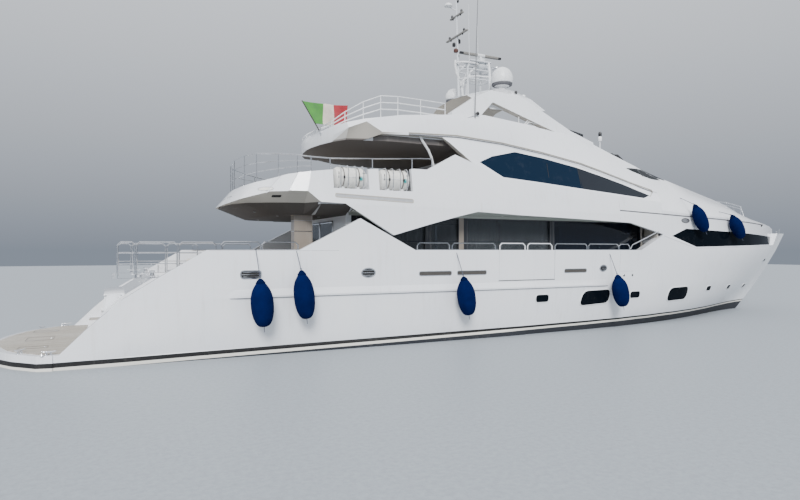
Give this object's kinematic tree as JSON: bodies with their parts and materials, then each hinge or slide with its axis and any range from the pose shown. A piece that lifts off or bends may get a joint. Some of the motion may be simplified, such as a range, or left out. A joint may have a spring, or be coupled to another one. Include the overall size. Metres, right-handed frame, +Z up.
{
  "type": "motor yacht",
  "caption": "Tri-deck motor yacht with raked bow, bathing platform, side balconies, tinted glazed houses, radar arch and mast.",
  "frame": {"origin": "on the centreline at the waterline, 20.0 m ahead of the platform's aft edge", "axes": "+X to the bow, +Y to port, +Z up"},
  "size_m": [39.5686, 8.4175, 16.73],
  "materials": {
    "gelcoat": "white gelcoat over glass-fibre laminate, gloss",
    "teak": "weathered bare planks",
    "varnished_wood": "varnished, gloss",
    "glazing": "dark tinted, polished",
    "steel": "polished stainless",
    "bronze": "cast bronze, dull",
    "cast_iron": "painted grey",
    "white_plastic": "moulded, satin",
    "canister": "ribbed moulding, satin",
    "cushion": "woven outdoor cloth",
    "fender_cover": "knitted cover"
  },
  "bodies": {
    "yacht": {"hull": "gelcoat", "platform_teak": "teak", "main_deck_teak": "teak", "main_deckhouse": "gelcoat", "upper_moulding": "gelcoat", "upper_coaming": "gelcoat", "upper_deck_teak": "teak", "upper_deckhouse": "gelcoat", "hardtop": "gelcoat", "foredeck_moulding": "gelcoat", "windscreen": "glazing", "radar_arch": "gelcoat", "mast": "white_plastic", "cockpit_table": "varnished_wood", "cockpit_sofa": "cushion", "bulwark_starboard": "gelcoat", "engine_starboard": "cast_iron", "saloon_glass_starboard": "glazing", "upper_glass_starboard": "glazing", "bow_glass_starboard": "glazing", "life_rafts_starboard": "canister", "stern_rail_starboard": "steel", "side_rail_quarter_starboard": "steel", "side_rail_aft_starboard": "steel", "side_rail_forward_starboard": "steel", "bulwark_port": "gelcoat", "engine_port": "cast_iron", "saloon_glass_port": "glazing", "upper_glass_port": "glazing", "bow_glass_port": "glazing", "life_rafts_port": "canister", "stern_rail_port": "steel", "side_rail_quarter_port": "steel", "side_rail_aft_port": "steel", "side_rail_forward_port": "steel", "dome_starboard": "white_plastic", "dome_port": "white_plastic", "upper_rail": "steel", "roof_rail": "steel", "sundeck_helm": "gelcoat", "sundeck_screen": "glazing", "ensign_staff": "varnished_wood", "fender_1": "fender_cover", "fender_2": "fender_cover", "fender_3": "fender_cover", "fender_4": "fender_cover", "fender_5": "fender_cover", "fender_6": "fender_cover"},
    "radar_scanner": {"radar_scanner": "white_plastic"},
    "garage_door": {"garage_door": "gelcoat"},
    "propeller_starboard": {"propeller_starboard": "bronze"},
    "propeller_port": {"propeller_port": "bronze"},
    "rudder_starboard": {"rudder_starboard": "bronze"},
    "rudder_port": {"rudder_port": "bronze"},
    "balcony_starboard": {"balcony_starboard": "gelcoat"},
    "balcony_port": {"balcony_port": "gelcoat"},
    "saloon_door_starboard": {"saloon_door_starboard": "glazing"},
    "saloon_door_port": {"saloon_door_port": "glazing"},
    "upper_door_starboard": {"upper_door_starboard": "glazing"},
    "upper_door_port": {"upper_door_port": "glazing"}
  },
  "joints": [
    {"name": "scanner_spin", "type": "hinge", "parent": "yacht", "child": "radar_scanner", "pos_m": [-1.9, 0, 11.8], "axis": [0, 0, 1], "continuous": true},
    {"name": "propeller_starboard_spin", "type": "hinge", "parent": "yacht", "child": "propeller_starboard", "pos_m": [-10.8, -1.6, -1.02], "axis": [-0.9932, 0, -0.1168], "continuous": true},
    {"name": "propeller_port_spin", "type": "hinge", "parent": "yacht", "child": "propeller_port", "pos_m": [-10.8, 1.6, -1.02], "axis": [-0.9932, 0, -0.1168], "continuous": true},
    {"name": "rudder_starboard_turn", "type": "hinge", "parent": "yacht", "child": "rudder_starboard", "pos_m": [-16.9, -1.6, -0.9], "axis": [0, 0, 1], "range_deg": [-35, 35]},
    {"name": "rudder_port_turn", "type": "hinge", "parent": "yacht", "child": "rudder_port", "pos_m": [-16.9, 1.6, -0.9], "axis": [0, 0, 1], "range_deg": [-35, 35]},
    {"name": "garage_door_hinge", "type": "hinge", "parent": "yacht", "child": "garage_door", "pos_m": [-16.85, 0, 1.89], "axis": [0, 1, 0], "range_deg": [0, 75]},
    {"name": "balcony_starboard_hinge", "type": "hinge", "parent": "yacht", "child": "balcony_starboard", "pos_m": [-2.23, -3.82, 2.12], "axis": [1, 0, 0], "range_deg": [0, 90]},
    {"name": "balcony_port_hinge", "type": "hinge", "parent": "yacht", "child": "balcony_port", "pos_m": [-2.23, 3.82, 2.12], "axis": [-1, 0, 0], "range_deg": [0, 90]},
    {"name": "saloon_door_starboard_slide", "type": "slide", "parent": "yacht", "child": "saloon_door_starboard", "axis": [0, -1, 0], "range_m": [0, 1.25]},
    {"name": "saloon_door_port_slide", "type": "slide", "parent": "yacht", "child": "saloon_door_port", "axis": [0, 1, 0], "range_m": [0, 1.25]},
    {"name": "upper_door_starboard_slide", "type": "slide", "parent": "yacht", "child": "upper_door_starboard", "axis": [0, -1, 0], "range_m": [0, 1.1]},
    {"name": "upper_door_port_slide", "type": "slide", "parent": "yacht", "child": "upper_door_port", "axis": [0, 1, 0], "range_m": [0, 1.1]}
  ],
  "couplings": [
    {"joint": "rudder_port_turn", "follows": "rudder_starboard_turn", "ratio": 1}
  ]
}
